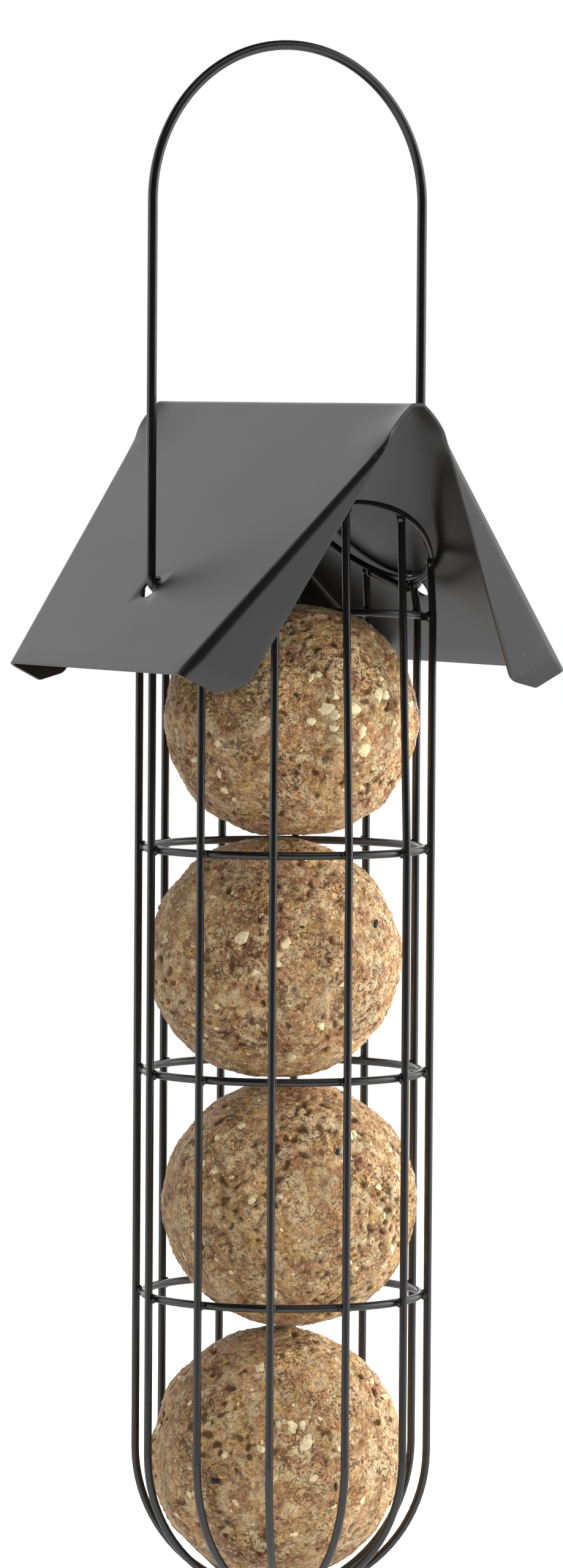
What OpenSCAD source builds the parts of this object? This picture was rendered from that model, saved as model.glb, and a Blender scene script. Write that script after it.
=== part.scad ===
// Hanging suet ball feeder: a round wire cage for four suet balls, hung by two
// hooks of a tall wire bail, under a folded sheet roof that slides up the bail.
// The origin is the hanging point, on the underside of the bail's arch.
// X runs from hook to hook, Y along the roof's ridge, Z up. Sizes in millimetres.

/* [Suet balls] */
// Widest diameter of a suet ball
ball_d = 65; // [60:0.5:66]
// Average height of a ball, a little flattened by its own weight
ball_h = 61.8; // [60:0.2:62]
// How far a ball may sit from the middle of the cage
ball_wander = 2.2; // [0:0.1:2.4]

/* [Cage] */
// Thickness of the cage's wires and hoops, coated
wire_d = 2.0; // [1.8:0.1:2.2]
// Room between a ball and the hoops, all round
ball_play = 1.5; // [1:0.1:2]
// Turn of the upright wires about Z, so that two of them pass beside the hooks
wire_turn = -5; // [-7:0.5:-5]
// Depth of the top ball below the low sides of the top rim
top_room = 5.5; // [5:0.5:12]
// Height between one full hoop and the next
hoop_pitch = 56.5; // [54:0.5:58]
// Height of the lowest full hoop above the place where the upright wires start to curve in
low_hoop_rise = 39.7; // [36:0.1:42]
// Depth of the rear hoop below the low sides of the top rim
rear_hoop_drop = 8.7; // [8:0.1:11]
// Rise of the top rim from its low sides at the hooks to its high sides under the ridge
rim_rise = 20; // [14:1:20]
// How much nearer the middle the rim's high sides stand than the upright wires
rim_inset = 3.4; // [2.5:0.1:4]
// The same for the rim's low sides, at the hooks
rim_side_inset = 1.4; // [1:0.1:2]
// Radius of the circle on which the upright wires end, under the lowest ball
wire_end_r = 8.2; // [8:0.1:9]

/* [Bail] */
// Thickness of the bail's wire, coated
bail_wire_d = 2.5; // [2.2:0.1:2.8]
// Drop from the hanging point to the rim where it lies in the hooks
hook_drop = 133.5; // [130:0.5:140]
// Length of a hook's straight end
hook_end = 11.2; // [10:0.2:12]
// Slope of a hook's straight end above level
hook_slope = 24; // [18:1:28]

/* [Roof] */
// Length of the ridge
ridge_len = 125.5; // [118:0.5:132]
// Length of each eave, from fold to fold
eave_len = 88; // [82:0.5:94]
// Reach of each eave from the middle
eave_reach = 56.1; // [54:0.1:58]
// Slope of the roof below level
roof_slope = 50.2; // [49:0.1:52]
// Sheet thickness with its coating
sheet_t = 0.7; // [0.6:0.1:0.9]
// How far down the slope from the ridge the gable folds start
fold_start = 14.5; // [12:0.5:18]
// Width of the gable flanges at the eaves, before their corners are cut off
flange_w = 16.5; // [14:0.5:20]
// Width of the leg holes in the roof
leg_hole_d = 7; // [6.5:0.5:7.5]

/* [Hidden] */
$fn = 64;
WIRE_COUNT = 12;
WELD_GAP = 0.05;
HOOK_PLAY = 0.1;
SEAT_GAP = 0.45;
BALL_GAP = 0.3;
BALL_FLAT = 3;
RING_INSET = 1.8;
RIDGE_BEND_R = 2;
RIDGE_STEPS = 6;
FLANGE_CUT_UP = 5.5;
FLANGE_CUT_IN = 6.8;
JOINT_GAP = 0.025;
JOINT_SWELL = 0.02;
BEAD_R = 1.2;
TOP_BEAD_R = 1.35;
BEAD_GAP = 0.02;
REAR_HOOP_LAP = 3;

WIRE_BLACK = [0.16, 0.16, 0.17];
SHEET_BLACK = [0.24, 0.24, 0.25];
SUET_TAN = [0.72, 0.55, 0.36];

// Rings and circles of the cage, outward from the balls
hoop_r = ball_d / 2 + ball_play + wire_d / 2;
cage_r = hoop_r + wire_d + WELD_GAP;
weld_r = (hoop_r + cage_r) / 2;
arch_r = cage_r + wire_d / 2 + bail_wire_d / 2 + HOOK_PLAY;

// The rim where it lies in the hooks. All heights are below the hanging point.
rim_side = [cage_r - rim_side_inset, 0, -hook_drop];
hook_bend_r = arch_r - rim_side.x;
hook_z = rim_side.z + hook_bend_r - (wire_d + bail_wire_d) / 2 - HOOK_PLAY;

// The balls, from the top one down: their heights, and where each one leans. A
// ball's side is an arc of radius ball_side_r that ends in a small flat disc.
ball_heights = ball_h * [0.955, 0.987, 1.013, 1.045];
function ball_side_r(i) = norm([ball_heights[i] / 2, BALL_FLAT]);
ball_shifts = ball_wander * [0.6, -1, 0.8, -0.5];
BALL_SHIFT_ANGLE = -30;
function ball_z(i) =
    i == 0 ? rim_side.z - top_room - ball_heights[0] / 2
           : ball_z(i - 1) - (ball_heights[i - 1] + ball_heights[i]) / 2 - BALL_GAP;

// The upright wires end just inside the bottom ring, which lies on them and carries the balls
ring_angle = asin((wire_end_r + RING_INSET) / cage_r);
ring_r = hoop_r * sin(ring_angle);
ring_out = ring_r + ball_shifts[3] - (ball_d / 2 - ball_side_r(3));
ring_z = ball_z(3) - sqrt(pow(ball_side_r(3) + (wire_d + BALL_GAP) / 2, 2) - pow(ring_out, 2));
bowl_z = ring_z + hoop_r * cos(ring_angle);
hoop_zs = [for (i = [2:-1:0]) bowl_z + low_hoop_rise + i * hoop_pitch];
rear_hoop_z = rim_side.z - rear_hoop_drop;

// A quarter of the top rim is two arcs, from the low side at a hook to the high
// side under the ridge. Each arc starts level, and they meet smoothly.
rim_peak = [0, rim_inset - cage_r, rim_side.z + rim_rise];
SIDE_WAY = [0, -1, 0];
PEAK_WAY = [1, 0, 0];
rim_span = rim_peak - rim_side;
rim_turn = rim_span * (SIDE_WAY - PEAK_WAY);
rim_reach = (sqrt(pow(rim_turn, 2) + 2 * rim_span * rim_span) - rim_turn) / 2;
rim_mid = (rim_side + rim_peak + rim_reach * (SIDE_WAY + PEAK_WAY)) / 2;

// The roof's outer faces would meet here, above the rounded ridge
apex_z = rim_side.z + rim_side.x * tan(roof_slope) + (wire_d / 2 + SEAT_GAP + sheet_t) / cos(roof_slope);

// The gable folds, drawn on up to the ridge, would end fold_overrun beyond the sheet's edge
slope_len = eave_reach / cos(roof_slope);
fold_taper = (ridge_len - eave_len) / 2 / (slope_len - fold_start);
fold_overrun = fold_taper * fold_start;
fold_len = norm([slope_len, fold_taper * slope_len]);

// An arc leaves point p in the direction way and ends at point q
function bulge(p, way, q) = (q - p) - ((q - p) * way) * way;
function inward(p, way, q) = bulge(p, way, q) / norm(bulge(p, way, q));
function arc_r(p, way, q) = (q - p) * (q - p) / (2 * norm(bulge(p, way, q)));
function sweep(p, way, q) = 2 * atan2(norm(bulge(p, way, q)), (q - p) * way);
function arc_at(p, way, q, turn) =
    p + arc_r(p, way, q) * ((1 - cos(turn)) * inward(p, way, q) + sin(turn) * way);

// Points along a quarter of the rim, 0 at the low side, 1 at mid and 2 at the high side
function rim_at(s) =
    s < 1 ? arc_at(rim_side, SIDE_WAY, rim_mid, s * sweep(rim_side, SIDE_WAY, rim_mid))
          : arc_at(rim_peak, PEAK_WAY, rim_mid, (2 - s) * sweep(rim_peak, PEAK_WAY, rim_mid));

// The rim's point in a direction seen from above, found by halving
function rim_over(plan, low = 0, high = 2, halvings = 40) =
    let (s = (low + high) / 2, at = rim_at(s))
    halvings == 0 ? at
    : atan2(-at.y, at.x) < plan ? rim_over(plan, s, high, halvings - 1)
    : rim_over(plan, low, s, halvings - 1);

// Upright wires, counted round from the hook on the +X side
function wire_angle(k) = wire_turn + 360 / WIRE_COUNT * (k - 1);
function wire_top(k) =
    let (at = rim_over(asin(abs(sin(wire_angle(k))))))
    [norm([at.x, at.y]), at.z];
function on_rear_hoop(k) = k < 9 || k == WIRE_COUNT;
function knee_z(k) = on_rear_hoop(k) ? rear_hoop_z : hoop_zs[0];
function lean_way(k) = let (top = wire_top(k)) [top.x - cage_r, top.y - knee_z(k)];
function lean(k) = atan2(-lean_way(k).x, lean_way(k).y);

// Two lengths of a bent wire each stop a hair short of where they meet, and this
// ball joins them. It swells the wire by less than its coating does.
module joint(d) {
    sphere(d / 2 + JOINT_SWELL);
}
function gap_turn(r) = JOINT_GAP / r * 180 / PI;

// A wire bent to an arc, from p in the direction way to the joint at q
module wire_arc(p, way, q, d) {
    n = inward(p, way, q);
    r = arc_r(p, way, q);
    side = cross(-n, way);
    centre = p + r * n;
    multmatrix([[-n.x, way.x, side.x, centre.x],
                [-n.y, way.y, side.y, centre.y],
                [-n.z, way.z, side.z, centre.z],
                [0, 0, 0, 1]])
        rotate_extrude(angle = sweep(p, way, q) - gap_turn(r))
            translate([r, 0])
                circle(d = d);
}

// A wire arc in the XZ plane round the origin, from one angle up to another
module upright_arc(r, from, to, d) {
    rotate([90, 0, 0])
        rotate([0, 0, from])
            rotate_extrude(angle = to - from)
                translate([r, 0])
                    circle(d = d);
}

// A closed level ring of cage wire
module ring(r, z) {
    color(WIRE_BLACK)
        translate([0, 0, z])
            rotate_extrude()
                translate([r, 0])
                    circle(d = wire_d);
}

// Half the outline of a hook's straight end, with its rounded tip
module hook_end_profile() {
    tip = hook_end - bail_wire_d / 2;
    translate([0, JOINT_GAP])
        square([bail_wire_d / 2, tip - JOINT_GAP]);
    translate([0, tip])
        intersection() {
            circle(d = bail_wire_d);
            square(bail_wire_d);
        }
}

// One hook: the bend under the rim, and the straight end with its rounded tip
module hook() {
    translate([rim_side.x, 0, hook_z]) {
        turn = gap_turn(hook_bend_r);
        upright_arc(hook_bend_r, turn - hook_slope - 90, -turn, bail_wire_d);
        translate([hook_bend_r, 0, 0])
            joint(bail_wire_d);
        rotate([0, hook_slope - 90, 0])
            translate([-hook_bend_r, 0, 0]) {
                joint(bail_wire_d);
                rotate_extrude()
                    hook_end_profile();
            }
    }
}

// The bail: one wire, arched at the top, with a hook at the foot of each leg
module bail_handle() {
    arch_z = bail_wire_d / 2 - arch_r;
    color(WIRE_BLACK) {
        translate([0, 0, arch_z])
            upright_arc(arch_r, 0, 180, bail_wire_d);
        for (side = [0, 1])
            mirror([side, 0, 0]) {
                translate([arch_r, 0, hook_z + JOINT_GAP])
                    cylinder(d = bail_wire_d, h = arch_z - hook_z - JOINT_GAP);
                hook();
            }
    }
}

// Places children at all four gable folds. There X runs down the fold from the
// ridge, Y square to the slope and inward, and Z along the ridge and inward.
module at_gable_folds() {
    down = [eave_reach, fold_taper * slope_len, -eave_reach * tan(roof_slope)] / fold_len;
    under = [-sin(roof_slope), 0, -cos(roof_slope)];
    along = cross(down, under);
    for (x = [0, 1], y = [0, 1])
        mirror([x, 0, 0])
            mirror([0, y, 0])
                multmatrix([[down.x, under.x, along.x, 0],
                            [down.y, under.y, along.y, -ridge_len / 2 - fold_overrun],
                            [down.z, under.z, along.z, apex_z],
                            [0, 0, 0, 1]])
                    children();
}

// A point of the flat sheet, down the slope and in from where a fold would meet
// the ridge, turned to lie along that fold and out from it
function at_fold(slope, end) =
    [slope + fold_taper * end, fold_taper * slope - end] * slope_len / fold_len;

// A gable flange is the strip of sheet beyond a fold, its lower corner cut off.
// Its upper edge lies within the slope's thickness.
module flange_outline() {
    free = fold_taper * slope_len - flange_w;
    intersection() {
        polygon([at_fold(fold_start, fold_overrun),
                 at_fold(slope_len, fold_taper * slope_len),
                 at_fold(slope_len, free + FLANGE_CUT_IN),
                 at_fold(slope_len - FLANGE_CUT_UP, free)]);
        translate([0, sheet_t / 2])
            square(fold_len);
    }
}

// Outlines of the folded sheet seen from a gable, r from the middle of the ridge's bend
function ridge_bend(r) =
    [for (i = [-RIDGE_STEPS:RIDGE_STEPS])
        r * [sin(roof_slope * i / RIDGE_STEPS), cos(roof_slope * i / RIDGE_STEPS)]];
function eave(side, r) =
    let (flat = slope_len - RIDGE_BEND_R * tan(roof_slope))
    [side * (r * sin(roof_slope) + flat * cos(roof_slope)), r * cos(roof_slope) - flat * sin(roof_slope)];

// Both slopes and the rounded ridge, before the gable ends are cut to the folds
module folded_sheet() {
    inner_r = RIDGE_BEND_R - sheet_t;
    inner_bend = ridge_bend(inner_r);
    translate([0, ridge_len / 2, apex_z - RIDGE_BEND_R / cos(roof_slope)])
        rotate([90, 0, 0])
            linear_extrude(ridge_len)
                polygon(concat([eave(-1, RIDGE_BEND_R)], ridge_bend(RIDGE_BEND_R),
                               [eave(1, RIDGE_BEND_R), eave(1, inner_r)],
                               [for (i = [2 * RIDGE_STEPS:-1:0]) inner_bend[i]],
                               [eave(-1, inner_r)]));
}

// The roof: one folded sheet with two holes for the bail's legs
module roof() {
    cut = (ridge_len - eave_len) / 2;
    color(SHEET_BLACK) {
        difference() {
            folded_sheet();
            at_gable_folds()
                translate([0, -sheet_t, -cut])
                    cube([fold_len + cut, 3 * sheet_t, cut]);
            for (side = [0, 1])
                mirror([side, 0, 0])
                    translate([arch_r, 0, apex_z - arch_r * tan(roof_slope)])
                        rotate([0, roof_slope, 0])
                            cylinder(d = leg_hole_d, h = leg_hole_d, center = true);
        }
        at_gable_folds()
            linear_extrude(sheet_t)
                flange_outline();
    }
}

// The top rim: a ring bent up on two sides to follow the roof
module top_rim() {
    color(WIRE_BLACK)
        for (x = [0, 1], y = [0, 1])
            mirror([x, 0, 0])
                mirror([0, y, 0]) {
                    wire_arc(rim_side, SIDE_WAY, rim_mid, wire_d);
                    wire_arc(rim_peak, PEAK_WAY, rim_mid, wire_d);
                    translate(rim_mid)
                        joint(wire_d);
                }
}

// The rear hoop: part of a ring, open towards the leaning front wires
module rear_hoop() {
    first = wire_angle(WIRE_COUNT) - 360 - REAR_HOOP_LAP;
    last = wire_angle(8) + REAR_HOOP_LAP;
    color(WIRE_BLACK)
        translate([0, 0, rear_hoop_z])
            rotate([0, 0, first])
                rotate_extrude(angle = last - first)
                    translate([hoop_r, 0])
                        circle(d = wire_d);
}

module hoop_1() ring(hoop_r, hoop_zs[0]);
module hoop_2() ring(hoop_r, hoop_zs[1]);
module hoop_3() ring(hoop_r, hoop_zs[2]);
module bottom_ring() ring(ring_r, ring_z);

// One upright wire: in under the lowest ball, straight up past the hoops, then
// leaning in to meet the underside of the rim
module cage_wire(k) {
    tilt = lean(k);
    set_back = JOINT_GAP + wire_d / 2 * tan(tilt / 2);
    color(WIRE_BLACK)
        rotate([0, 0, wire_angle(k)]) {
            translate([0, 0, bowl_z])
                upright_arc(cage_r, asin(wire_end_r / cage_r) - 90, -gap_turn(cage_r), wire_d);
            translate([cage_r, 0, bowl_z]) {
                joint(wire_d);
                translate([0, 0, JOINT_GAP])
                    cylinder(d = wire_d, h = knee_z(k) - set_back - bowl_z - JOINT_GAP);
            }
            translate([cage_r, 0, knee_z(k)]) {
                joint(wire_d);
                rotate([0, -tilt, 0])
                    translate([0, 0, set_back])
                        cylinder(d = wire_d, h = norm(lean_way(k)) - set_back - wire_d / 2 - BEAD_GAP);
            }
        }
}

module cage_wire_01() cage_wire(1);
module cage_wire_02() cage_wire(2);
module cage_wire_03() cage_wire(3);
module cage_wire_04() cage_wire(4);
module cage_wire_05() cage_wire(5);
module cage_wire_06() cage_wire(6);
module cage_wire_07() cage_wire(7);
module cage_wire_08() cage_wire(8);
module cage_wire_09() cage_wire(9);
module cage_wire_10() cage_wire(10);
module cage_wire_11() cage_wire(11);
module cage_wire_12() cage_wire(12);

// The small welds that hold wires, hoops and rim together
module weld_beads() {
    color(WIRE_BLACK)
        for (k = [1:WIRE_COUNT])
            rotate([0, 0, wire_angle(k)]) {
                for (z = hoop_zs)
                    translate([weld_r, 0, z])
                        sphere(BEAD_R);
                if (on_rear_hoop(k))
                    translate([weld_r, 0, rear_hoop_z])
                        sphere(BEAD_R);
                translate([weld_r * sin(ring_angle), 0, bowl_z - weld_r * cos(ring_angle)])
                    sphere(BEAD_R);
                translate([wire_top(k).x, 0, wire_top(k).y - wire_d / 2])
                    sphere(TOP_BEAD_R);
            }
}

// One suet ball, counted from the top
module suet_ball(i) {
    half = ball_heights[i] / 2;
    shift = ball_shifts[i];
    color(SUET_TAN)
        translate([shift * cos(BALL_SHIFT_ANGLE), shift * sin(BALL_SHIFT_ANGLE), ball_z(i)])
            rotate_extrude()
                intersection() {
                    translate([ball_d / 2 - ball_side_r(i), 0])
                        circle(ball_side_r(i), $fn = 96);
                    translate([0, -half])
                        square([ball_d, 2 * half]);
                }
}

module suet_ball_1() suet_ball(0);
module suet_ball_2() suet_ball(1);
module suet_ball_3() suet_ball(2);
module suet_ball_4() suet_ball(3);

bail_handle();
roof();
top_rim();
rear_hoop();
hoop_1();
hoop_2();
hoop_3();
bottom_ring();
weld_beads();
cage_wire_01();
cage_wire_02();
cage_wire_03();
cage_wire_04();
cage_wire_05();
cage_wire_06();
cage_wire_07();
cage_wire_08();
cage_wire_09();
cage_wire_10();
cage_wire_11();
cage_wire_12();
suet_ball_1();
suet_ball_2();
suet_ball_3();
suet_ball_4();
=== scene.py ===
"""Looks of the suet ball feeder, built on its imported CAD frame.

Blender runs this as a script. It is laid out as an add-on: the sizes and
colours are properties, each group of pieces has its operator, and a panel
lists them. Lengths are in metres, in the frame of the CAD model.
"""

import math
import random

import bmesh
import bpy
from mathutils import Matrix, Vector, noise


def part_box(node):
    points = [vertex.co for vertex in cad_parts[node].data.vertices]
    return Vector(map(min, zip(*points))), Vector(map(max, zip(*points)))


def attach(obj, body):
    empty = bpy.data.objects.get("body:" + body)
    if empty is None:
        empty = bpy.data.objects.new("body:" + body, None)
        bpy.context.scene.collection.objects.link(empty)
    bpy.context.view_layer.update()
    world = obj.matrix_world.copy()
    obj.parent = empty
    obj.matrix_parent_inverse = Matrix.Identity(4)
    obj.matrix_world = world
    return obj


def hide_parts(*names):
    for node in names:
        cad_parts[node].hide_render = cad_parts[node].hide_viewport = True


bl_info = {
    "name": "Suet Ball Feeder",
    "version": (1, 0, 0),
    "blender": (4, 5, 0),
    "location": "3D View > Sidebar > Feeder",
    "description": "Dresses a hanging suet ball feeder: roof, wire cage and suet balls",
    "category": "Object",
}

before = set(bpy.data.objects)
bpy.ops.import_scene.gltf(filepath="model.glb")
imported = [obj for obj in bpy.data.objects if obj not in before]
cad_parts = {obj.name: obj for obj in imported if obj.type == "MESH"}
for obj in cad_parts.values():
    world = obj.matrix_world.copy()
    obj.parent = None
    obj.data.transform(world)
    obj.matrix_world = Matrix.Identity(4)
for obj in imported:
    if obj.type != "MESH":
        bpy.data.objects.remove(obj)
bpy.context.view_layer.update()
# Lengths are in metres
MM = 0.001
BALLS = ("suet_ball_1", "suet_ball_2", "suet_ball_3", "suet_ball_4")
WIRE_NODES = [
    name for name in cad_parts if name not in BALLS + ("roof", "weld_beads")
]
# Thickness of the bail's wire
BAIL_WIRE = 0.0025

# The roof's mesh: rounding of the cut edges, width of the patch round a leg hole,
# rows of points down the slope with the last one up from the eave, columns in from
# the gable in millimetres, and steps of the ridge bend, the fine rows and a fold
EDGE_ROUND = 0.00011
HOLE_PATCH = 0.006
FINE_ROWS_TO = 0.022
ROWS = (0.028, 0.036, 0.044, 0.052)
LAST_ROW = 0.006
COLUMNS = (0.6, 1.6, 3, 5, 8, 11, 15, 20, 25, 31, 38, 46)
BEND_STEPS, FINE_STEPS, FOLD_STEPS = 6, 12, 9
# Radius of a gable fold at the ridge, as a share of its radius at the eave
RIDGE_SHARE = 0.45
# The arch beside the ridge: width of its tight edge, and where it has died out, in
# lengths of the unfolded edge
ARCH_EDGE = 0.006
ARCH_FADE = 1.5

# Balls: where the arc of a side stops, out from the arc's middle, the gap to the
# solid's flat ends, the ends without loose bits, and the count of pressed flats
ARC_END = 0.003
END_GAP = 0.00005
BARE_END = 0.004
FLATS = 11
# Deeper flats of single balls: where they lie from the middle, and their depth
EXTRA_FLATS = {1: [((-0.8, -0.25, 0.55), 0.0028)]}
BALL_SEED, WELD_SEED = 40, 7

# Loose bits: their kinds, which are also the numbers of their materials, how common
# each kind is, and the half widths in millimetres
OAT, MAIZE, HUSK, SEED = KINDS = (0, 1, 2, 3)
SHARES = (50, 28, 14, 3)
WIDTHS = {OAT: (0.4, 1.4), MAIZE: (0.3, 0.8), HUSK: (0.25, 0.7), SEED: (0.7, 1.2)}
LARGE_WIDTHS = {OAT: (1.5, 2.6), SEED: (1.1, 1.4)}
THINNEST = 0.00022
# Large bits that stand out on each ball: where they lie from its middle, their
# kind, how many, and how near to that place as a cosine
MARKS = {
    1: [
        ((0.09, -0.99, 0.09), OAT, 9, 0.955),
        ((-0.45, -0.85, 0.25), SEED, 1, 0.999),
    ],
    2: [
        ((-0.62, -0.75, 0.15), OAT, 3, 0.98),
        ((0.35, -0.85, 0.33), SEED, 1, 0.999),
    ],
    3: [
        ((-0.04, -0.87, 0.49), SEED, 1, 0.999),
        ((-0.52, -0.84, 0.1), SEED, 1, 0.999),
    ],
    4: [
        ((-0.69, -0.43, 0.58), SEED, 1, 0.999),
        ((-0.05, -0.99, -0.12), SEED, 1, 0.999),
        ((-0.86, -0.49, -0.13), SEED, 1, 0.999),
        ((-0.3, -0.92, 0.25), OAT, 3, 0.98),
    ],
}

# The camera: place, level direction, tilt down and roll in degrees, and its focal
# length over the picture's height, both in pixels
CAMERA_PLACE = (-0.9754, -1.6443, -0.0861)
CAMERA_LEVEL = (0.5098, 0.8603, 0)
CAMERA_PITCH, CAMERA_ROLL = 2.957, 0.388
FOCAL_LENGTH, PICTURE_HEIGHT = 12366, 2560
SENSOR_HEIGHT = 36.0
FLOOR_LEVEL, FLOOR_RADIUS = -0.47, 6.0

# Lamps: name, place, width and height, power, and whether the coats mirror them.
# The panels show in the coats. The fills don't, and shape the balls.
LAMPS = (
    ("right_panel", (1.2, -0.7, -0.15), (1.2, 1.5), 8.0, True),
    ("left_panel", (-1.55, 0.35, -0.1), (0.7, 1.5), 4.5, True),
    ("right_fill", (1.2, 0.1, -0.1), (0.8, 1.2), 38.0, False),
    ("left_fill", (-1.3, 0.55, -0.3), (0.8, 1.2), 2.0, False),
    ("front_fill", (0.75, -1.3, -0.1), (1.0, 1.0), 19.0, False),
)
LAMP_AIM = (0, 0, -0.22)
# Strength of the surroundings on matt surfaces, and as the coats mirror them
AMBIENT = 0.56
BACKDROP, CEILING, SKY = 1.2, 0.02, 0.6


def length(name, description, default):
    return bpy.props.FloatProperty(
        name=name,
        description=description,
        default=default,
        min=0.0,
        unit="LENGTH",
        precision=5,
    )


def angle(name, description, degrees):
    return bpy.props.FloatProperty(
        name=name,
        description=description,
        default=math.radians(degrees),
        subtype="ANGLE",
    )


def colour(name, description, default):
    return bpy.props.FloatVectorProperty(
        name=name,
        description=description,
        default=default,
        size=3,
        min=0.0,
        max=1.0,
        subtype="COLOR",
    )


class RoofSizes(bpy.types.PropertyGroup):
    """Sizes of the folded sheet roof"""

    ridge_length: length("Ridge length", "Length of the sheet along the ridge", 0.1255)
    eave_length: length("Eave length", "Length of an eave, from fold to fold", 0.088)
    eave_reach: length("Eave reach", "Reach of an eave from the middle", 0.0561)
    slope: angle("Slope", "Slope of the roof below level", 50.2)
    thickness: length("Thickness", "Sheet thickness with its coating", 0.0007)
    ridge_bend: length("Ridge bend", "Outer radius of the bend at the ridge", 0.002)
    fold_bend: length(
        "Fold bend", "Outer radius of the gable folds at the eave", 0.0026
    )
    fold_start: length(
        "Fold start", "How far down the slope the gable folds start", 0.0145
    )
    flange_width: length("Flange width", "Width of a gable flange at the eave", 0.0165)
    corner_in: length(
        "Corner cut in", "Cut of a flange's lower corner along the eave", 0.0068
    )
    corner_up: length("Corner cut up", "The same cut along its free edge", 0.0055)
    corner_round: length("Corner rounding", "Rounding of the cut corners", 0.0019)
    hole: length("Leg hole", "Width of the holes for the bail's legs", 0.007)
    bulge: length(
        "Gable arch", "How far the gable ends stand proud beside the ridge", 0.0011
    )
    bulge_reach: length(
        "Arch reach", "How far the gable arch runs in along the ridge", 0.024
    )


class BallSizes(bpy.types.PropertyGroup):
    """Relief of the pressed suet balls"""

    pressing: length("Pressing", "Depth of the flats that pressing leaves", 0.0016)
    lumps: length("Lumps", "Height of the broad lumps", 0.0007)
    grain: length("Grain", "Height of the single grains", 0.00034)
    pits: length("Pits", "Depth of the open places between grains", 0.0009)
    flakes: bpy.props.IntProperty(
        name="Flakes", description="Loose bits on each ball", default=240, min=0
    )


class Finishes(bpy.types.PropertyGroup):
    """Colours of the coatings and of the food"""

    wire: colour("Wire coat", "Satin coat on the wires", (0.004, 0.0039, 0.0038))
    sheet: colour("Sheet coat", "Satin coat on the roof", (0.0042, 0.004, 0.0039))
    cut_edge: colour(
        "Cut edge", "Thin coat on the sheet's edges", (0.035, 0.034, 0.033)
    )
    suet: colour("Suet", "Fat and fine meal between the grains", (0.72, 0.41, 0.19))
    crust: colour("Crust", "Darker places of the fat", (0.4, 0.2, 0.085))
    ochre: colour("Ochre meal", "Yellowish places", (0.78, 0.49, 0.16))
    russet: colour("Russet meal", "Reddish places", (0.5, 0.205, 0.085))
    husk: colour("Husk", "Brown bits of husk", (0.12, 0.047, 0.018))
    oat: colour("Oat flake", "Cream flakes", (0.92, 0.76, 0.45))
    maize: colour("Maize grit", "Orange bits", (0.85, 0.36, 0.07))
    seed: colour("Dark seed", "Black seeds", (0.012, 0.011, 0.012))


class Value:
    """A node's output that takes part in sums: each operation adds a Math node"""

    def __init__(self, tree, socket):
        self.tree, self.socket = tree, socket

    def math(self, operation, *values):
        """This value and others through one Math node"""
        inputs = dict(enumerate((self,) + values))
        return self.tree.node("ShaderNodeMath", {"operation": operation}, inputs)[0]

    def __add__(self, other):
        return self.math("ADD", other)

    __radd__ = __add__

    def __mul__(self, other):
        return self.math("MULTIPLY", other)

    __rmul__ = __mul__

    def __sub__(self, other):
        return self.math("SUBTRACT", other)

    def __rsub__(self, other):
        return (self * -1.0) + other

    def __lt__(self, other):
        return self.math("LESS_THAN", other)

    def step(self, low, high):
        """0 below low and 1 above high, with a smooth rise between them"""
        kind = {"interpolation_type": "SMOOTHSTEP", "clamp": True}
        inputs = {"Value": self, "From Min": low, "From Max": high}
        return self.tree.node("ShaderNodeMapRange", kind, inputs)[0]


class Outputs:
    """A node's outputs, by number or name"""

    def __init__(self, tree, node):
        self.tree, self.outputs = tree, node.outputs

    def __getitem__(self, key):
        return Value(self.tree, self.outputs[key])


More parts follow.
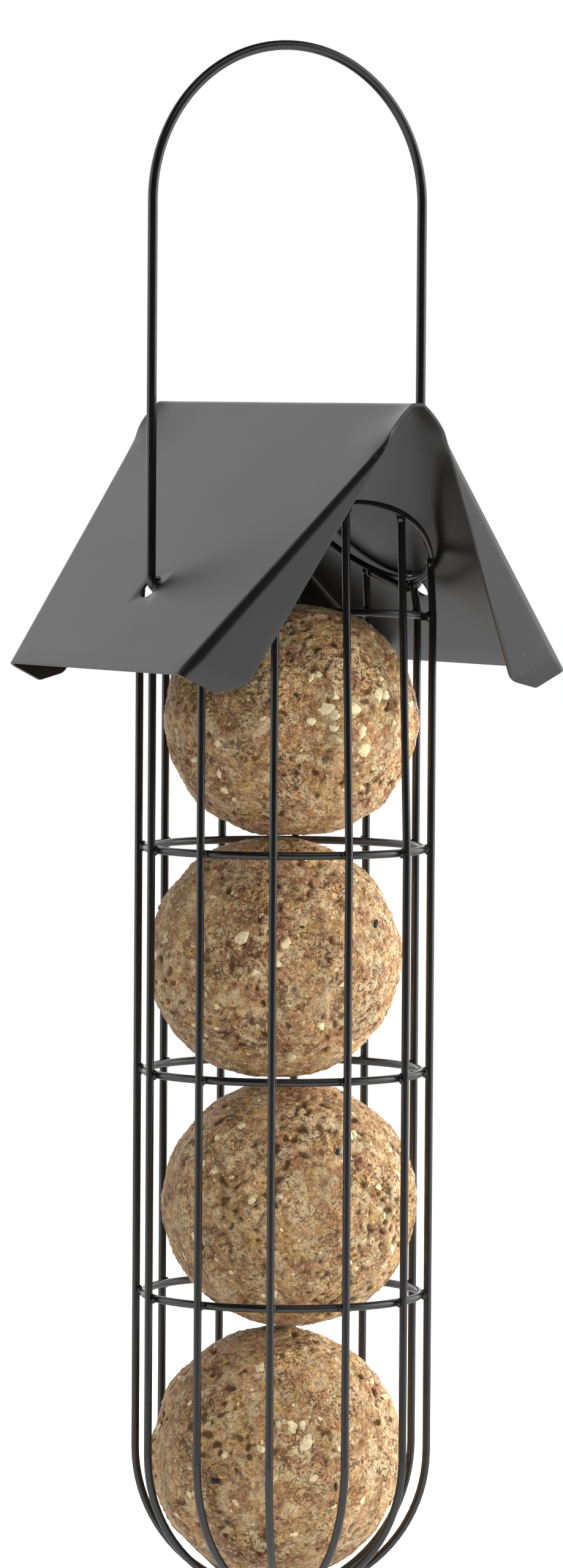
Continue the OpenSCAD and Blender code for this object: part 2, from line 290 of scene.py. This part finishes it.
class Tree:
    """A node tree that nodes are added to in one way"""

    def __init__(self, tree):
        self.tree = tree
        tree.nodes.clear()

    def node(self, kind, settings=None, inputs=None):
        """Adds a node with its settings, and with numbers or links as its inputs"""
        node = self.tree.nodes.new(kind)
        for name, value in (settings or {}).items():
            setattr(node, name, value)
        for key, value in (inputs or {}).items():
            if isinstance(value, Value):
                self.tree.links.new(value.socket, node.inputs[key])
            else:
                node.inputs[key].default_value = value
        return Outputs(self, node)

    def mix(self, factor, first, second):
        """Colours mixed: numbers stand for greys, and three numbers for a colour"""

        def shade(value):
            if isinstance(value, Value):
                return value
            if isinstance(value, (int, float)):
                value = (value,) * 3
            return (*value, 1.0)

        inputs = {0: factor, 6: shade(first), 7: shade(second)}
        return self.node("ShaderNodeMix", {"data_type": "RGBA"}, inputs)[2]

    def noise(self, at, scale, detail=2.0, roughness=0.5):
        """Cloudy noise, as one number or as a colour of three"""
        inputs = {
            "Vector": at,
            "Scale": scale,
            "Detail": detail,
            "Roughness": roughness,
        }
        return self.node("ShaderNodeTexNoise", None, inputs)

    def cells(self, at, scale, feature="F1"):
        """Irregular cells, each with a colour of its own"""
        inputs = {"Vector": at, "Scale": scale}
        return self.node("ShaderNodeTexVoronoi", {"feature": feature}, inputs)

    def first(self, colour):
        """The red part of a colour, as a random number"""
        return self.node("ShaderNodeSeparateColor", None, {"Color": colour})["Red"]

    def second(self, colour):
        """The green part of a colour, as another random number"""
        return self.node("ShaderNodeSeparateColor", None, {"Color": colour})["Green"]

    def third(self, colour):
        """The blue part of a colour, as a third random number"""
        return self.node("ShaderNodeSeparateColor", None, {"Color": colour})["Blue"]

    def place(self):
        """The place of the shaded point in its piece"""
        return self.node("ShaderNodeTexCoord")["Object"]

    def bump(self, height, distance, strength):
        """A normal for fine relief that the mesh doesn't have"""
        inputs = {"Height": height, "Distance": distance, "Strength": strength}
        return self.node("ShaderNodeBump", None, inputs)["Normal"]

    def finish(self, **inputs):
        """The surface shader and the output"""
        named = {key.replace("_", " "): value for key, value in inputs.items()}
        for key, value in named.items():
            if key == "Base Color" and not isinstance(value, Value):
                named[key] = (*value, 1.0)
        shader = self.node("ShaderNodeBsdfPrincipled", None, named)
        self.node("ShaderNodeOutputMaterial", None, {"Surface": shader["BSDF"]})


def new_material(name):
    material = bpy.data.materials.new(name)
    material.use_nodes = True
    return material, Tree(material.node_tree)


def wire_coat(finishes):
    """Satin black powder coat on round wire: fine orange peel, faint dull patches"""
    material, tree = new_material("wire_coat")
    at = tree.place()
    peel = tree.noise(at, 1100.0, detail=2.0)[0]
    patches = tree.noise(at, 60.0, detail=3.0)[0]
    light = tuple(1.8 * c for c in finishes.wire)
    tree.finish(
        Base_Color=tree.mix(patches, tuple(finishes.wire), light),
        Roughness=0.2 + 0.1 * patches,
        Specular_IOR_Level=0.75,
        Normal=tree.bump(peel, 0.00001, 0.2),
    )
    return material


def sheet_coat(finishes):
    """Satin coat on sheet steel, with faint clouds and a few rubbed places"""
    material, tree = new_material("sheet_coat")
    at = tree.place()
    peel = tree.noise(at, 1800.0, detail=2.0)[0]
    clouds = tree.noise(at, 28.0, detail=4.0, roughness=0.6)[0]
    specks = tree.cells(at, 900.0)
    dust = (tree.first(specks["Color"]) < 0.012) * (specks["Distance"] < 0.22)
    tone = tree.mix(
        clouds, tuple(finishes.sheet), tuple(1.5 * c for c in finishes.sheet)
    )
    tree.finish(
        Base_Color=tree.mix(dust * 0.35, tone, 0.14),
        Roughness=0.28 + 0.08 * clouds,
        Specular_IOR_Level=0.9,
        Normal=tree.bump(peel, 0.00003, 0.6),
    )
    return material


def edge_coat(finishes):
    """The thin coat on the sheet's cut edges"""
    material, tree = new_material("edge_coat")
    wear = tree.noise(tree.place(), 700.0, detail=3.0)[0]
    tone = tree.mix(
        wear, tuple(0.5 * c for c in finishes.cut_edge), tuple(finishes.cut_edge)
    )
    tree.finish(
        Base_Color=tone, Roughness=0.3 + 0.15 * wear, Specular_IOR_Level=0.8
    )
    return material


def suet_mix(finishes):
    """Pressed fat with meal, husks, cream flakes and orange grit, and painted shade in
    its dark open pits and cracks
    """
    material, tree = new_material("suet_mix")
    at = tree.place()
    drift = tree.noise(at, 420.0, detail=2.0)["Color"]
    shift = tree.node(
        "ShaderNodeVectorMath", {"operation": "SUBTRACT"}, {0: drift, 1: (0.5,) * 3}
    )[0]
    at = tree.node(
        "ShaderNodeVectorMath",
        {"operation": "MULTIPLY_ADD"},
        {0: shift, 1: (0.0022,) * 3, 2: at},
    )[0]

    # Broad places of crust, ochre and russet in the fat
    broad = tree.noise(at, 105.0, detail=4.0, roughness=0.65)["Color"]
    tone = tree.mix(tree.first(broad).step(0.4, 0.58), finishes.crust, finishes.suet)
    patch = tree.noise(at, 200.0, detail=3.0, roughness=0.6)["Color"]
    tone = tree.mix(tree.first(patch).step(0.49, 0.58) * 0.62, tone, finishes.ochre)
    tone = tree.mix(tree.second(patch).step(0.51, 0.6) * 0.62, tone, finishes.russet)
    pale = tree.third(patch).step(0.5, 0.58) * 0.75
    tone = tree.mix(pale, tone, Vector(finishes.suet).lerp(Vector(finishes.oat), 0.6))

    # Each grain and each crumb of meal has its own shade
    grains = tree.cells(at, 480.0)
    meal = tree.cells(at, 1150.0)
    grain_pick = tree.first(grains["Color"])
    meal_pick = tree.second(meal["Color"])
    dust = tree.cells(at, 2300.0)
    fine = tree.noise(at, 2600.0, detail=3.0, roughness=0.7)[0].step(0.3, 0.7)
    shade = 0.22 * grain_pick + 0.3 * meal_pick + 0.28 * fine
    shade = shade + 0.2 * tree.first(dust["Color"])
    tone = tree.mix(shade.step(0.5, 0.85) * 0.65, tone, finishes.oat)
    dark = (1.0 - shade).step(0.5, 0.85) * 0.8
    tone = tree.mix(dark, tone, Vector(finishes.husk) * 1.2)

    # Cream flakes, orange grit and pale specks, each in a few cells only
    edge = tree.noise(at, 900.0, detail=2.0)[0] * 0.3
    flakes = tree.cells(at, 210.0)
    flake = (tree.first(flakes["Color"]) < 0.16) * (
        1.0 - (flakes["Distance"] + edge).step(0.3, 0.46)
    )
    grit = tree.cells(at, 330.0)
    orange = (tree.second(grit["Color"]) < 0.12) * (
        1.0 - (grit["Distance"] + edge).step(0.3, 0.45)
    )
    speck = (tree.first(meal["Color"]) < 0.07) * (
        1.0 - meal["Distance"].step(0.2, 0.45)
    )
    tone = tree.mix(flake * 0.62, tone, finishes.oat)
    tone = tree.mix(orange * 0.65, tone, finishes.maize)
    tone = tree.mix(speck * 0.6, tone, finishes.oat)

    # Painted shade in the dark pits and cracks: they crowd in some places, and follow
    # the shape's own pits
    crowd = tree.noise(at, 75.0, detail=2.0)[0].step(0.42, 0.6)
    hole = 1.0 - tree.noise(at, 1300.0, detail=2.0, roughness=0.6)[0].step(0.34, 0.42)
    hole = hole * (0.3 + 0.7 * crowd)
    rifts = tree.cells(at, 330.0, feature="DISTANCE_TO_EDGE")["Distance"]
    crack = 1.0 - rifts.step(0.02, 0.09)
    broken = tree.noise(at, 500.0, detail=2.0)[0].step(0.5, 0.58)
    hole = hole.math("MAXIMUM", crack * broken * (0.25 + 0.75 * crowd))
    seam = tree.node("ShaderNodeAttribute", {"attribute_name": "pit"})["Fac"]
    pit_shade = hole.math("MAXIMUM", seam.step(0.1, 0.8))
    # Painted shade: the pits and cracks are darkened to a dark brown
    tone = tree.mix(pit_shade * 0.75, tone, Vector(finishes.husk) * 0.9)

    height = (
        (1.0 - grains["Distance"]) * 0.4
        + (1.0 - meal["Distance"]) * 0.35
        + fine * 0.2
        + flake * 0.15
        - pit_shade * 0.7
    )
    tree.finish(
        Base_Color=tone,
        Roughness=0.33 + 0.35 * meal_pick,
        Specular_IOR_Level=0.45,
        Normal=tree.bump(height, 0.0011, 1.0),
    )
    return material


def crumb(name, base, light, roughness):
    """One kind of loose bit: mottled, and darker in the hollows as painted shade"""
    material, tree = new_material(name)
    at = tree.place()
    mottle_and_shade = tree.noise(at, 1100.0, detail=3.0, roughness=0.6)[0].step(0.3, 0.7)
    fine = tree.noise(at, 3500.0, detail=2.0)[0]
    tree.finish(
        # Painted shade: the darker colour lies where the bump is low
        Base_Color=tree.mix(mottle_and_shade, tuple(base), tuple(light)),
        Roughness=roughness + 0.15 * fine,
        Normal=tree.bump(fine + mottle_and_shade * 0.5, 0.0001, 0.7),
    )
    return material


def finish_piece(name, bm, body, materials, sharp):
    """Makes the finished mesh an object that rides on its CAD body"""
    mesh = bpy.data.meshes.new(name)
    bm.to_mesh(mesh)
    bm.free()
    mesh.shade_smooth()
    mesh.set_sharp_from_angle(angle=math.radians(sharp))
    for material in materials:
        mesh.materials.append(material)
    piece = bpy.data.objects.new(name, mesh)
    bpy.context.scene.collection.objects.link(piece)
    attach(piece, body)
    return piece


def cut_across(bm, places, normal, base=(0.0, 0.0, 0.0)):
    """Cuts the flat sheet along parallel lines at these distances from base"""
    normal = Vector(normal).normalized()
    for place in places:
        bmesh.ops.bisect_plane(
            bm,
            geom=bm.verts[:] + bm.edges[:] + bm.faces[:],
            dist=1e-7,
            plane_co=Vector(base) + normal * place,
            plane_no=normal,
        )


def steps(first, last, count):
    """Evenly spaced numbers from first to last"""
    return [first + (last - first) * i / count for i in range(count + 1)]


class FEEDER_OT_roof(bpy.types.Operator):
    """Folds the roof from one flat sheet: rounded ridge and gable folds, cut corners"""

    bl_idname = "feeder.roof"
    bl_label = "Roof"

    def execute(self, context):
        sizes = context.scene.feeder_roof
        slope = sizes.slope
        self.slope_length = sizes.eave_reach / math.cos(slope)
        self.taper = (sizes.ridge_length - sizes.eave_length) / 2
        self.taper /= self.slope_length - sizes.fold_start
        self.overrun = self.taper * sizes.fold_start
        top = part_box("roof")[1].z
        self.bend_z = top - sizes.ridge_bend
        self.apex_z = self.bend_z + sizes.ridge_bend / math.cos(slope)
        hole_at = abs(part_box("bail_handle")[1].x) - BAIL_WIRE / 2
        hole_at /= math.cos(slope)

        bm = self.flat_quarter(sizes, hole_at)
        for vert in bm.verts:
            vert.co = self.folded(sizes, vert.co)
        for axis in "XY":
            bmesh.ops.mirror(
                bm,
                geom=bm.verts[:] + bm.edges[:] + bm.faces[:],
                matrix=Matrix.Identity(4),
                merge_dist=1e-6,
                axis=axis,
            )
        bmesh.ops.remove_doubles(bm, verts=bm.verts[:], dist=2e-6)
        bmesh.ops.recalc_face_normals(bm, faces=bm.faces[:])
        slope_face = max(bm.faces, key=lambda f: f.calc_area())
        if slope_face.normal.z < 0:
            bmesh.ops.reverse_faces(bm, faces=bm.faces[:])
        bmesh.ops.solidify(bm, geom=bm.faces[:], thickness=sizes.thickness)
        # Under the arch the inner skin leans out: it ends flush with the outer one
        end = sizes.ridge_length / 2
        for vert in bm.verts:
            vert.co.y = max(-end, min(end, vert.co.y))
        # The sheet's own edges, and the narrow faces between them
        corners = {
            edge
            for edge in bm.edges
            if len(edge.link_faces) == 2
            and edge.calc_face_angle(0.0) > math.radians(60)
        }
        for face in bm.faces:
            longest = max(edge.calc_length() for edge in face.edges)
            narrow = face.calc_area() < 1.1 * sizes.thickness * longest
            if narrow and len(corners.intersection(face.edges)) >= 2:
                face.material_index = 1
        bmesh.ops.bevel(
            bm,
            geom=list(corners),
            offset=EDGE_ROUND,
            offset_type="OFFSET",
            segments=2,
            profile=0.5,
            affect="EDGES",
            material=-1,
            clamp_overlap=True,
        )
        finishes = context.scene.feeder_finishes
        coats = [sheet_coat(finishes), edge_coat(finishes)]
        piece = finish_piece("roof_sheet", bm, "roof", coats, 35.0)
        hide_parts("roof")
        return {"FINISHED"}

    def flat_quarter(self, sizes, hole_at):
        """A quarter of the flat sheet: X runs down the slope, Y out to the gable"""
        end = self.slope_length
        half = sizes.ridge_length / 2
        fold_end = sizes.eave_length / 2
        free = fold_end + sizes.flange_width
        r = sizes.hole / 2
        bm = bmesh.new()
        outline = [
            (0, 0),
            (hole_at - r, 0),
            (hole_at - r, r),
            (hole_at + r, r),
            (hole_at + r, 0),
            (end, 0),
            (end, free - sizes.corner_in),
            (end - sizes.corner_up, free),
            (sizes.fold_start, half),
            (0, half),
        ]
        verts = [bm.verts.new((x, y, 0.0)) for x, y in outline]
        bm.faces.new(verts)
        for picked, size, segments in (
            (verts[2:4], r * 0.9999, 10),
            (verts[6:7], sizes.corner_round / 3, 3),
            (verts[7:8], sizes.corner_round, 4),
        ):
            bmesh.ops.bevel(
                bm,
                geom=picked,
                offset=size,
                offset_type="OFFSET",
                segments=segments,
                profile=0.5,
                affect="VERTICES",
                material=-1,
            )
        # Cuts close round the hole first, so that its notch stays in one face
        cut_across(bm, [hole_at - HOLE_PATCH, hole_at + HOLE_PATCH], (1, 0, 0))
        cut_across(bm, [HOLE_PATCH], (0, 1, 0))
        flat_start = sizes.ridge_bend * math.tan(sizes.slope)
        cut_across(bm, steps(0, flat_start, BEND_STEPS)[1:], (1, 0, 0))
        cut_across(bm, steps(flat_start, FINE_ROWS_TO, FINE_STEPS)[1:], (1, 0, 0))
        cut_across(bm, [*ROWS, end - LAST_ROW], (1, 0, 0))
        cut_across(bm, [half - column * MM for column in COLUMNS], (0, 1, 0))
        r = sizes.fold_bend
        cut_across(
            bm,
            steps(-r, r * (math.pi / 2 - 1), FOLD_STEPS),
            (self.taper, 1, 0),
            base=(0, half + self.overrun, 0),
        )
        return bm

    def folded(self, sizes, flat):
        """Where a point of the flat sheet lies once the ridge and a gable are folded"""
        slope = sizes.slope
        # The folds are tighter towards the ridge
        down_slope = min(1.0, flat.x / self.slope_length)
        r = sizes.fold_bend * (RIDGE_SHARE + (1 - RIDGE_SHARE) * down_slope)
        half = sizes.ridge_length / 2
        lean = math.hypot(1.0, self.taper)
        beyond = (flat.y - half - self.overrun + self.taper * flat.x) / lean
        down = Vector((math.cos(slope), 0, -math.sin(slope)))
        outward = Vector((math.sin(slope), 0, math.cos(slope)))
        away = (down * self.taper + Vector((0, 1, 0))) / lean
        if beyond <= -r:
            point = self.on_slope(sizes, flat.x, flat.y)
        else:
            foot = Vector((flat.x, flat.y)) - beyond * Vector((self.taper, 1)) / lean
            foot = self.on_slope(sizes, foot.x, foot.y)
            turn = min((beyond + r) / r, math.pi / 2)
            rest = beyond + r - turn * r
            point = foot + away * (r * math.sin(turn) - r)
            point -= outward * (r - r * math.cos(turn) + rest)
        # Beside the ridge the unfolded gable ends stand proud in an arch
        along = flat.x / sizes.fold_start
        if 0 < along < ARCH_FADE:
            near = max(0.0, 1.0 - (half - flat.y) / sizes.bulge_reach) ** 2
            tight = max(0.0, 1.0 - (half - flat.y) / ARCH_EDGE)
            arch = 4 * along * (1 - along) if along < 1 else 0.0
            soft = math.sin(math.pi * along / ARCH_FADE) ** 2
            rise = tight * arch + (1 - tight) * soft * 0.8
            point += outward * (sizes.bulge * near * rise)
        return point

    def on_slope(self, sizes, along, across):
        """Where a point of the flat sheet lies once only the ridge is bent"""
        flat_start = sizes.ridge_bend * math.tan(sizes.slope)
        if along >= flat_start:
            return Vector(
                (
                    along * math.cos(sizes.slope),
                    across,
                    self.apex_z - along * math.sin(sizes.slope),
                )
            )
        turn = sizes.slope * along / flat_start
        x = sizes.ridge_bend * math.sin(turn)
        return Vector((x, across, self.bend_z + sizes.ridge_bend * math.cos(turn)))


class FEEDER_OT_balls(bpy.types.Operator):
    """Presses the four suet balls, each with its own flats, lumps, grains and flakes"""

    bl_idname = "feeder.balls"
    bl_label = "Suet balls"

    def execute(self, context):
        sizes = context.scene.feeder_balls
        finishes = context.scene.feeder_finishes
        mix = suet_mix(finishes)
        oat, maize, husk = (
            Vector(c) for c in (finishes.oat, finishes.maize, finishes.husk)
        )
        # The darker colour of each loose bit is also painted shade in its hollows
        crumbs = [
            crumb("oat_flake", oat * 0.66, oat, 0.5),
            crumb("maize_grit", maize * 0.7, maize.lerp(oat, 0.35), 0.4),
            crumb("husk_bit", husk * 0.6, husk * 1.9, 0.55),
            crumb("dark_seed", Vector(finishes.seed), Vector(finishes.seed) * 4, 0.35),
        ]
        for number, node in enumerate(BALLS, 1):
            chance = random.Random(BALL_SEED + number)
            surface = self.ball(sizes, node, number, chance)
            body = "ball_%d" % number
            bits = self.bits(sizes, surface, number, chance)
            piece = finish_piece("suet_%d" % number, surface, body, [mix], 180)
            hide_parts(node)
            finish_piece("bits_%d" % number, bits, body, crumbs, 60)
        return {"FINISHED"}

    def ball(self, sizes, node, number, chance):
        """One ball, with the depth of its pits kept on its points"""
        low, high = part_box(node)
        middle, half = (low + high) / 2, (high - low) / 2
        side = math.hypot(half.z, ARC_END)
        belly = (half.x - side) / side
        bm = bmesh.new()
        bmesh.ops.create_icosphere(bm, subdivisions=7, radius=1.0)
        # The depth of the pits, kept for the painted shade in them
        kept = bm.verts.layers.float.new("pit")
        flats = []
        for _ in range(FLATS):
            way = Vector([chance.gauss(0, 1) for _ in range(3)]).normalized()
            flats.append((way, sizes.pressing * chance.uniform(0.4, 1.0)))
        for at, depth in EXTRA_FLATS.get(number, ()):
            flats.append((Vector(at).normalized(), depth))
        drift = Vector([chance.uniform(-50, 50) for _ in range(3)])
        for vert in bm.verts:
            way = vert.co.normalized()
            level = math.hypot(way.x, way.y)
            swell = 1 + belly * min(1.0, 4 * level) / max(level, 1e-6)
            point = Vector((way.x * swell, way.y * swell, way.z)) * side
            reach = point.length
            # Flats pressed by the mould and by the neighbours
            for normal, depth in flats:
                over = way.dot(normal) * reach - (half.x - depth)
                if over > 0:
                    reach -= over / max(way.dot(normal), 0.5) * 0.85
            at = point / MM + drift
            lumps = noise.noise(at / 13.0) + 0.6 * noise.noise(at / 6.0)
            first, second = noise.voronoi(at / 2.2)[0][:2]
            grain = 0.22 - first + 0.5 * min(second - first, 0.35)
            fine = noise.noise(at)
            crowd = max(0.0, 0.5 + 1.2 * noise.noise(at / 14.0 - drift))
            pit = min(1.0, max(0.0, -0.2 - noise.noise(at / 1.9 - drift)) * 3.0 * crowd)
            reach += sizes.lumps * (lumps - 0.6) + sizes.grain * (grain + 0.6 * fine)
            reach -= sizes.pits * pit
            point = point.normalized() * reach
            limit = half.z - END_GAP
            point.z = max(-limit, min(limit, point.z))
            vert.co = middle + point
            vert[kept] = pit
        bmesh.ops.recalc_face_normals(bm, faces=bm.faces[:])
        return bm

    def bits(self, sizes, surface, number, chance):
        """Flakes, grit, husks and seeds, pressed into the surface"""
        low = min(v.co.z for v in surface.verts)
        high = max(v.co.z for v in surface.verts)
        surface.verts.ensure_lookup_table()
        surface.normal_update()
        middle = Vector((0, 0, (low + high) / 2))
        total = len(surface.verts)
        spots = [surface.verts[chance.randrange(total)] for _ in range(sizes.flakes)]
        spots = [
            (v, None) for v in spots if low + BARE_END < v.co.z < high - BARE_END
        ]
        for at, kind, count, reach in MARKS[number]:
            way = Vector(at).normalized()
            close = [
                v
                for v in surface.verts
                if (v.co - middle).normalized().dot(way) > reach
            ]
            spots += [(v, kind) for v in chance.sample(close, count)]
        bm = bmesh.new()
        for spot, kind in spots:
            large = kind is not None
            if not large:
                kind = chance.choices(KINDS, SHARES)[0]
            wide = (LARGE_WIDTHS if large else WIDTHS)[kind]
            wide = chance.uniform(*wide) * MM
            long = wide * chance.uniform(0.45, 0.9)
            thick = max((0.5 if kind == SEED else 0.22) * wide, THINNEST)
            made = bmesh.ops.create_icosphere(
                bm, subdivisions=2 if wide > MM else 1, radius=1.0
            )
            twist = Matrix.Rotation(chance.uniform(0, math.tau), 4, "Z")
            turn = spot.normal.to_track_quat("Z", "Y").to_matrix().to_4x4()
            shape = Matrix.Diagonal((wide, long, thick, 1.0))
            set_in = Matrix.Translation(spot.co - spot.normal * thick * 0.3)
            seed = Vector((chance.uniform(0, 100), 0, 0))
            laid = set_in @ turn @ twist @ shape
            for vert in made["verts"]:
                rough = 1 + 0.5 * noise.noise(vert.co * 1.6 + seed)
                vert.co = laid @ (vert.co * rough)
            for face in {f for v in made["verts"] for f in v.link_faces}:
                face.material_index = kind
        return bm


class FEEDER_OT_wires(bpy.types.Operator):
    """Coats the bail, the rim, the hoops and the upright wires, and lays the welds"""

    bl_idname = "feeder.wires"
    bl_label = "Wires and welds"

    def execute(self, context):
        coat = wire_coat(context.scene.feeder_finishes)
        for name in WIRE_NODES:
            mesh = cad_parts[name].data
            mesh.materials.clear()
            mesh.materials.append(coat)
        piece = finish_piece(
            "welds", self.welds(), "cage", [coat], 180
        )
        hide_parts("weld_beads")
        return {"FINISHED"}

    def welds(self):
        """A small fillet of melted metal where the wires cross, at each CAD bead"""
        chance = random.Random(WELD_SEED)
        bm = bmesh.new()
        for middle, radius in self.beads():
            made = bmesh.ops.create_icosphere(bm, subdivisions=2, radius=1.0)
            outward = Vector((middle.x, middle.y, 0))
            turn = outward.to_track_quat("X", "Z").to_matrix().to_4x4()
            wide, tall = (radius * chance.uniform(1.05, 1.3) for _ in range(2))
            shape = Matrix.Diagonal((radius * 0.8, wide, tall, 1.0))
            seed = Vector((chance.uniform(0, 100), 0, 0))
            laid = Matrix.Translation(middle) @ turn @ shape
            for vert in made["verts"]:
                rough = 1 + 0.25 * noise.noise(vert.co * 1.3 + seed)
                vert.co = laid @ (vert.co * rough)
        return bm

    def beads(self):
        """The middle and the radius of each bead of the CAD model"""
        beads = bmesh.new()
        beads.from_mesh(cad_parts["weld_beads"].data)
        bmesh.ops.remove_doubles(beads, verts=beads.verts[:], dist=1e-6)
        waiting, found = set(beads.verts), []
        while waiting:
            island, edge_of = set(), [waiting.pop()]
            while edge_of:
                vert = edge_of.pop()
                island.add(vert)
                for edge in vert.link_edges:
                    other = edge.other_vert(vert)
                    if other in waiting:
                        waiting.discard(other)
                        edge_of.append(other)
            low = Vector([min(v.co[i] for v in island) for i in range(3)])
            high = Vector([max(v.co[i] for v in island) for i in range(3)])
            found.append(((low + high) / 2, (high.z - low.z) / 2))
        beads.free()
        return sorted(found, key=lambda bead: tuple(round(c, 6) for c in bead[0]))


class FEEDER_OT_stage(bpy.types.Operator):
    """Sets the camera, the pale floor, the lamps and the white surroundings"""

    bl_idname = "feeder.stage"
    bl_label = "Stage"

    def execute(self, context):
        scene = context.scene
        scene.view_settings.view_transform = "Standard"
        self.camera(scene)
        self.floor(scene)
        for name, place, size, power, mirrored in LAMPS:
            self.lamp(scene, name, place, size, power, mirrored)
        self.surroundings(scene)
        return {"FINISHED"}

    def camera(self, scene):
        """The camera at the place and with the turn that were fitted to the photo"""
        data = bpy.data.cameras.new("camera")
        data.sensor_fit = "VERTICAL"
        data.sensor_height = SENSOR_HEIGHT
        data.lens = FOCAL_LENGTH / PICTURE_HEIGHT * SENSOR_HEIGHT
        data.clip_start = 0.1
        camera = bpy.data.objects.new("camera", data)
        scene.collection.objects.link(camera)
        pitch, roll = math.radians(CAMERA_PITCH), math.radians(CAMERA_ROLL)
        level = Vector(CAMERA_LEVEL).normalized()
        ahead = level * math.cos(pitch) - Vector((0, 0, math.sin(pitch)))
        right = ahead.cross(Vector((0, 0, 1))).normalized()
        up = right.cross(ahead)
        right, up = (
            right * math.cos(roll) + up * math.sin(roll),
            up * math.cos(roll) - right * math.sin(roll),
        )
        turn = Matrix((right, up, -ahead)).transposed().to_4x4()
        camera.matrix_world = Matrix.Translation(Vector(CAMERA_PLACE)) @ turn
        scene.camera = camera

    def floor(self, scene):
        """A matt floor that looks white to the camera, and is a table to the coats"""
        bm = bmesh.new()
        bmesh.ops.create_circle(bm, cap_ends=True, segments=96, radius=FLOOR_RADIUS)
        mesh = bpy.data.meshes.new("floor")
        bmesh.ops.translate(bm, verts=bm.verts[:], vec=(0, 0, FLOOR_LEVEL))
        bm.to_mesh(mesh)
        bm.free()
        floor = bpy.data.objects.new("floor", mesh)
        scene.collection.objects.link(floor)
        material, tree = new_material("pale_floor")
        paths = tree.node("ShaderNodeLightPath")
        grey = {"Color": (0.75, 0.75, 0.75, 1)}
        matt = tree.node("ShaderNodeBsdfDiffuse", None, grey)
        white = paths["Is Camera Ray"].math("MAXIMUM", paths["Is Transmission Ray"])
        glow = tree.node("ShaderNodeEmission", None, {"Strength": white * 0.6})
        seen = tree.node("ShaderNodeAddShader", None, {0: matt[0], 1: glow[0]})
        # Coats mirror a white table that ends a step in front of the feeder
        parts = tree.node("ShaderNodeSeparateXYZ", None, {"Vector": tree.place()})
        back = parts["X"] * 0.51 + parts["Y"] * 0.86
        table = back.step(-1.5, -0.8) * (1.1 - 0.4 * back.step(-0.1, 0.5))
        table = tree.node("ShaderNodeEmission", None, {"Strength": table})
        inputs = {0: paths["Is Glossy Ray"], 1: seen[0], 2: table[0]}
        both = tree.node("ShaderNodeMixShader", None, inputs)
        tree.node("ShaderNodeOutputMaterial", None, {"Surface": both[0]})
        mesh.materials.append(material)

    def lamp(self, scene, name, place, size, power, mirrored):
        """A rectangular lamp that faces the feeder"""
        data = bpy.data.lights.new(name, "AREA")
        data.shape = "RECTANGLE"
        data.size, data.size_y = size
        data.energy = power
        lamp = bpy.data.objects.new(name, data)
        lamp.visible_glossy = mirrored
        aim = Vector(LAMP_AIM) - Vector(place)
        turn = aim.to_track_quat("-Z", "Y").to_matrix().to_4x4()
        lamp.matrix_world = Matrix.Translation(place) @ turn
        scene.collection.objects.link(lamp)

    def surroundings(self, scene):
        """White to the camera; the coats see a backdrop and a faint sky on black"""
        world = bpy.data.worlds.new("studio")
        world.use_nodes = True
        scene.world = world
        tree = Tree(world.node_tree)
        paths = tree.node("ShaderNodeLightPath")
        way = tree.node("ShaderNodeTexCoord")["Generated"]
        parts = tree.node("ShaderNodeSeparateXYZ", None, {"Vector": way})
        back = parts["X"] * 0.509 + parts["Y"] * 0.861
        behind = back.step(-0.35, 0.15)
        backdrop = behind * (1.0 - parts["Z"].step(0.45, 0.8))
        # A faint sky in front lights the slopes seen from behind. It leaves out the
        # low and left side, which the gable folds mirror.
        sky = parts["Z"].step(0.35, 0.55) * (1.0 - parts["Z"].step(0.85, 0.97))
        sky = sky * parts["X"].step(-0.5, -0.3) * (1.0 - behind)
        backdrop = backdrop + sky * SKY
        mirrored = paths["Is Glossy Ray"].math("MAXIMUM", paths["Is Transmission Ray"])
        level = AMBIENT + mirrored * (backdrop * BACKDROP + CEILING - AMBIENT)
        level = level + paths["Is Camera Ray"] * (1.0 - level)
        white = {"Color": (1, 1, 1, 1), "Strength": level}
        glow = tree.node("ShaderNodeBackground", None, white)
        tree.node("ShaderNodeOutputWorld", None, {"Surface": glow[0]})


class FEEDER_PT_panel(bpy.types.Panel):
    """Sizes, colours and steps of the feeder"""

    bl_idname = "FEEDER_PT_panel"
    bl_label = "Suet Ball Feeder"
    bl_space_type = "VIEW_3D"
    bl_region_type = "UI"
    bl_category = "Feeder"

    def draw(self, context):
        layout = self.layout
        for group in (
            context.scene.feeder_roof,
            context.scene.feeder_balls,
            context.scene.feeder_finishes,
        ):
            box = layout.box()
            for name in group.__annotations__:
                box.prop(group, name)
        for operator in OPERATORS:
            layout.operator(operator.bl_idname)


OPERATORS = (FEEDER_OT_stage, FEEDER_OT_wires, FEEDER_OT_roof, FEEDER_OT_balls)
GROUPS = (RoofSizes, BallSizes, Finishes)


def register():
    for item in GROUPS + OPERATORS + (FEEDER_PT_panel,):
        bpy.utils.register_class(item)
    bpy.types.Scene.feeder_roof = bpy.props.PointerProperty(type=RoofSizes)
    bpy.types.Scene.feeder_balls = bpy.props.PointerProperty(type=BallSizes)
    bpy.types.Scene.feeder_finishes = bpy.props.PointerProperty(type=Finishes)


def unregister():
    del bpy.types.Scene.feeder_roof
    del bpy.types.Scene.feeder_balls
    del bpy.types.Scene.feeder_finishes
    for item in reversed(GROUPS + OPERATORS + (FEEDER_PT_panel,)):
        bpy.utils.unregister_class(item)


def main():
    register()
    bpy.ops.feeder.stage()
    bpy.ops.feeder.wires()
    bpy.ops.feeder.roof()
    bpy.ops.feeder.balls()


if __name__ == "__main__":
    main()
